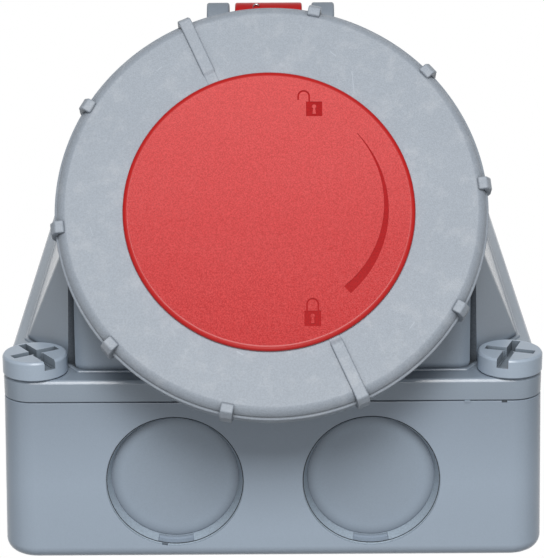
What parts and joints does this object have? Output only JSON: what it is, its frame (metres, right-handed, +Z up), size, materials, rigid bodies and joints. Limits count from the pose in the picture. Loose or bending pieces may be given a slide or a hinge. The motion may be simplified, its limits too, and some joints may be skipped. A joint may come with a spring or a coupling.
{
  "type": "industrial wall socket",
  "caption": "Wall socket for a heavy-duty round plug: back box, tapered cover, inclined outlet with a red sprung lid and a turning locking ring.",
  "frame": {"origin": "centre of the flat back face, on the wall", "axes": "+X to the right seen from the front, +Y into the wall, +Z up"},
  "size_m": [0.1622, 0.1615, 0.2563],
  "materials": {
    "grey_housing": "satin moulded plastic",
    "light_grey": "satin moulded plastic",
    "red_lid": "satin moulded plastic",
    "black_insulator": "matt",
    "black_rubber": "matt",
    "brass": "machined",
    "steel": "zinc plated"
  },
  "bodies": {
    "housing": {"back_box": "grey_housing", "body_gasket": "black_rubber", "body_screw_1": "steel", "body_screw_2": "steel", "body_screw_3": "steel", "body_screw_4": "steel", "box_gasket": "black_rubber", "carrier_clip": "steel", "carrier_front": "black_insulator", "contact_carrier": "black_insulator", "contact_earth": "brass", "contact_l1": "brass", "contact_l2": "brass", "contact_l3": "brass", "contact_n": "brass", "contact_pilot": "brass", "cover_hood": "grey_housing", "cover_screw_lower_left": "grey_housing", "cover_screw_lower_right": "grey_housing", "cover_screw_upper_left": "grey_housing", "cover_screw_upper_right": "grey_housing", "hinge_pin": "steel", "lid_spring": "steel", "screw_seal_1": "black_rubber", "screw_seal_2": "black_rubber", "screw_seal_3": "black_rubber", "screw_seal_4": "black_rubber", "socket_body": "grey_housing", "terminal_screw_earth": "steel", "terminal_screw_l1": "steel", "terminal_screw_l2": "steel", "terminal_screw_l3": "steel", "terminal_screw_n": "steel", "terminal_screw_pilot": "steel"},
    "lid": {"lid_body": "red_lid", "lid_disc": "red_lid", "lid_seal": "black_rubber"},
    "ring": {"locking_ring": "light_grey"}
  },
  "joints": [
    {"name": "lid_hinge", "type": "hinge", "parent": "housing", "child": "lid", "pos_m": [0, -0.15324, -0.05683], "axis": [-1, 0, 0], "range_deg": [0, 115], "stiffness_Nm_per_rad": 0.12, "springref_deg": -91.67, "deforming": ["lid_spring"]},
    {"name": "ring_turn", "type": "hinge", "parent": "lid", "child": "ring", "pos_m": [0, -0.11041, -0.10971], "axis": [0, -0.5642, -0.8256], "range_deg": [0, 133]}
  ]
}
